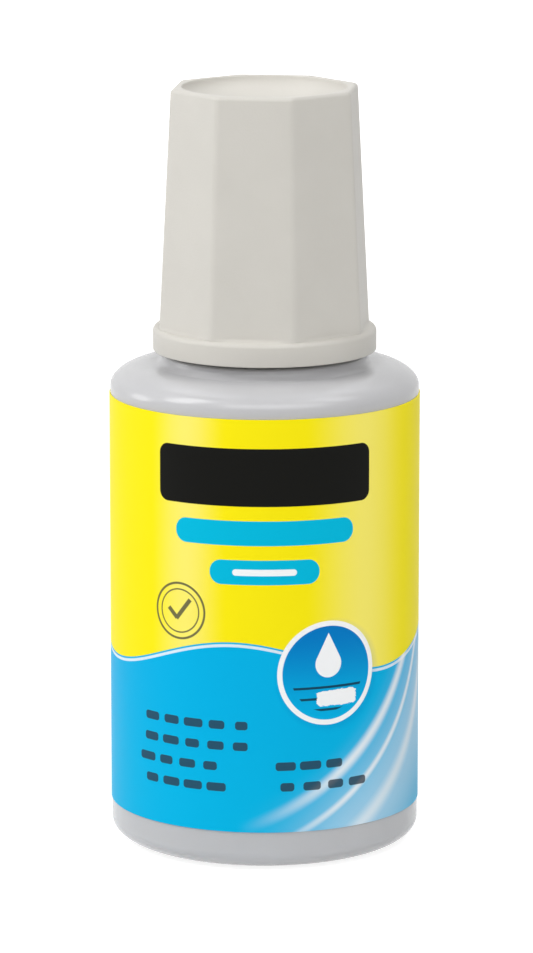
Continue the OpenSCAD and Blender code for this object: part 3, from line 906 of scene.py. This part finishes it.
def makeTuft(inputs):
    graph, given = geometryTree("tuftTree", inputs)
    number = graph.node("GeometryNodeInputIndex")
    spread = graph.maths("SQRT", (number + 0.5) / given["Strands"]) * given["Root Radius"]
    turn = number * goldenTurn
    root = graph.join(spread * graph.maths("COSINE", turn), spread * graph.maths("SINE", turn), given["Top"])
    spots = graph.node("GeometryNodePoints", None, {"Count": given["Strands"], "Position": root})
    foot = graph.join(0.0, 0.0, -given["Length"])
    strand = graph.node("GeometryNodeCurvePrimitiveLine", None, {"End": foot})
    strand = graph.node("GeometryNodeResampleCurve", None, {
        "Curve": strand, "Count": given["Steps"]})
    cut = graph.node("FunctionNodeRandomValue", {"data_type": "FLOAT"}, {
        2: given["Shortest"], 3: 1.0, "Seed": given["Seed"]}, 1)
    size = graph.join(1.0, 1.0, cut)
    strands = graph.node("GeometryNodeInstanceOnPoints", None, {
        "Points": spots, "Instance": strand, "Scale": size})
    strands = graph.node("GeometryNodeRealizeInstances", None, {"Geometry": strands})
    place = graph.node("GeometryNodeInputPosition")
    x = graph.node("ShaderNodeSeparateXYZ", None, {0: place}, "X")
    down = (given["Top"] - x.other("Z")) / given["Length"]
    bow = graph.maths("SINE", graph.highest(down - given["Bulge From"], 0.0) * math.pi) * given["Bulge"]
    draw = graph.highest(down - given["Draw From"], 0.0) / (1 - given["Draw From"])
    width = (1 + bow) * (1 - draw * draw * given["Draw In"])
    wander = graph.node("ShaderNodeTexNoise", None, {
        "Vector": graph.vector("MULTIPLY", place, strayScales), "Scale": 1.0}, "Color")
    wander = graph.vector("SUBTRACT", wander, (0.5, 0.5, 0.5))
    stray = graph.node("ShaderNodeVectorMath", {"operation": "SCALE"}, {
        0: wander, "Scale": given["Stray"] * 2 * down})
    moved = graph.join(x * width, x.other("Y") * width, x.other("Z"))
    strands = graph.node("GeometryNodeSetPosition", None, {
        "Geometry": strands, "Position": moved, "Offset": stray})
    along = graph.node("GeometryNodeSplineParameter")
    thin = 1 - graph.ramp(along, given["Taper From"], 1.0) * given["Tip Taper"]
    circle = graph.node("GeometryNodeCurvePrimitiveCircle", None, {
        "Resolution": given["Sides"], "Radius": given["Strand Radius"]})
    hair = graph.node("GeometryNodeCurveToMesh", None, {
        "Curve": strands, "Profile Curve": circle, "Scale": thin, "Fill Caps": True})
    return growPiece("tuft", graph, hair, inputs, bristleNylon)


tuft = makeTuft(tuftSizes)
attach(tuft, "brush")
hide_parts("bristles")
print("tuft made:", len(tuft.data.polygons), "faces")


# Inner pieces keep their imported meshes
innerFinishes = {"tuft_anchor": anchorSteel, "mixing_ball": ballSteel, "correction_fluid": whiteFluid}
for node, material in innerFinishes.items():
    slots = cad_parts[node].data.materials
    slots.clear()
    slots.append(material)
print("inner pieces finished")


# Camera: a long lens, a little above the bottle's middle
shot = {
    "distance": 0.5289, "aimHeight": 0.03587, "aimSide": 0.00018, "elevation": 11.61,
    "focalPixels": 5423, "pictureHeight": 953, "sensor": 36,
}


def makeCamera(s):
    lens = bpy.data.cameras.new("productCamera")
    lens.sensor_fit = "VERTICAL"
    lens.sensor_height = s["sensor"]
    lens.lens = s["focalPixels"] / s["pictureHeight"] * s["sensor"]
    lens.clip_start = 0.01
    camera = bpy.data.objects.new("productCamera", lens)
    bpy.context.scene.collection.objects.link(camera)
    rise = math.radians(s["elevation"])
    aim = Vector((s["aimSide"], 0, s["aimHeight"]))
    away = Vector((0, -math.cos(rise), math.sin(rise))) * s["distance"]
    camera.location = aim + away
    camera.rotation_euler = (-away).to_track_quat("-Z", "Y").to_euler()
    bpy.context.scene.camera = camera


makeCamera(shot)


# Floor and light
studio = {
    "floorSize": 6, "floorSink": 0.02 * mm, "floorShade": 0.9, "paperScale": 60, "paperShade": 0.01,
    "floorGlow": 0.62, "floorLight": 1.4, "farFrom": 0.1, "farFull": 0.5,
    "worldDiffuse": 0.05, "aimHeight": 0.037, "reach": 0.62,
    # turn is from the front, to the right where positive, and rise from the floor, in degrees
    "lamps": {
        "left": {"turn": -75, "rise": 45, "size": (0.22, 0.36), "power": 1.75},
        "edge": {"turn": -105, "rise": 12, "size": (0.2, 0.3), "power": 0.75},
        "front": {"turn": 10, "rise": 42, "size": (0.8, 0.35), "power": 2.6},
        "right": {"turn": 80, "rise": 58, "size": (0.22, 0.3), "power": 0.72},
        "back": {"turn": 180, "rise": 66, "size": (0.6, 0.35), "power": 0.8},
    },
}


def seenRays(path):  # the camera's own rays, and those that come by way of gloss or clear things
    aside = path.graph.highest(path.other("Is Glossy Ray"), path.other("Is Transmission Ray"))
    return path.graph.highest(path, aside)


def makeFloor(s):
    mesh = bmesh.new()
    half = s["floorSize"] / 2
    spots = ((-1, -1), (1, -1), (1, 1), (-1, 1))
    mesh.faces.new([mesh.verts.new((x * half, y * half, -s["floorSink"])) for x, y in spots])
    material, graph, place = newMaterial("floorPale")
    path = graph.node("ShaderNodeLightPath", None, None, "Is Camera Ray")
    paper = graph.noise(place, s["paperScale"], 2)
    light = (s["floorShade"],) * 3 + (1,)
    dark = (s["floorShade"] - s["paperShade"],) * 3 + (1,)
    matt = graph.node("ShaderNodeBsdfDiffuse", None, {"Color": graph.blend(paper, light, dark)})
    glow = graph.node("ShaderNodeEmission", None, {"Color": (1, 1, 1, 1), "Strength": s["floorLight"]})
    # near the bottle the floor keeps its shadow; far off it is plain white to the camera
    far = graph.ramp(graph.vector("LENGTH", place, output=1), s["farFrom"], s["farFull"])
    share = seenRays(path) * s["floorGlow"] + path * far * (1 - s["floorGlow"])
    mixed = graph.node("ShaderNodeMixShader", None, {0: share, 1: matt, 2: glow})
    graph.node("ShaderNodeOutputMaterial", None, {"Surface": mixed})
    closeMesh(mesh, "floor", material)


def makeWorld(s):
    world = bpy.data.worlds.new("studio")
    bpy.context.scene.world = world
    world.use_nodes = True
    world.node_tree.nodes.clear()
    graph = Graph(world.node_tree)
    path = graph.node("ShaderNodeLightPath", None, None, "Is Camera Ray")
    strength = s["worldDiffuse"] + seenRays(path) * (1 - s["worldDiffuse"])
    sky = graph.node("ShaderNodeBackground", None, {"Color": (1, 1, 1, 1), "Strength": strength})
    graph.node("ShaderNodeOutputWorld", None, {"Surface": sky})


def makeLight(name, lampSizes, s):
    lamp = bpy.data.lights.new(name, "AREA")
    lamp.shape = "RECTANGLE"
    lamp.size = lampSizes["size"][0]
    lamp.size_y = lampSizes["size"][1]
    lamp.energy = lampSizes["power"]
    light = bpy.data.objects.new(name, lamp)
    bpy.context.scene.collection.objects.link(light)
    turn = math.radians(lampSizes["turn"])
    rise = math.radians(lampSizes["rise"])
    away = Vector((math.sin(turn) * math.cos(rise), -math.cos(turn) * math.cos(rise), math.sin(rise)))
    light.location = Vector((0, 0, s["aimHeight"])) + away * s["reach"]
    light.rotation_euler = (-away).to_track_quat("-Z", "Y").to_euler()


makeFloor(studio)
makeWorld(studio)
for side, lampSizes in studio["lamps"].items():
    makeLight(side + "Softbox", lampSizes, studio)
bpy.context.scene.view_settings.view_transform = "Standard"
print("camera, floor and light set")
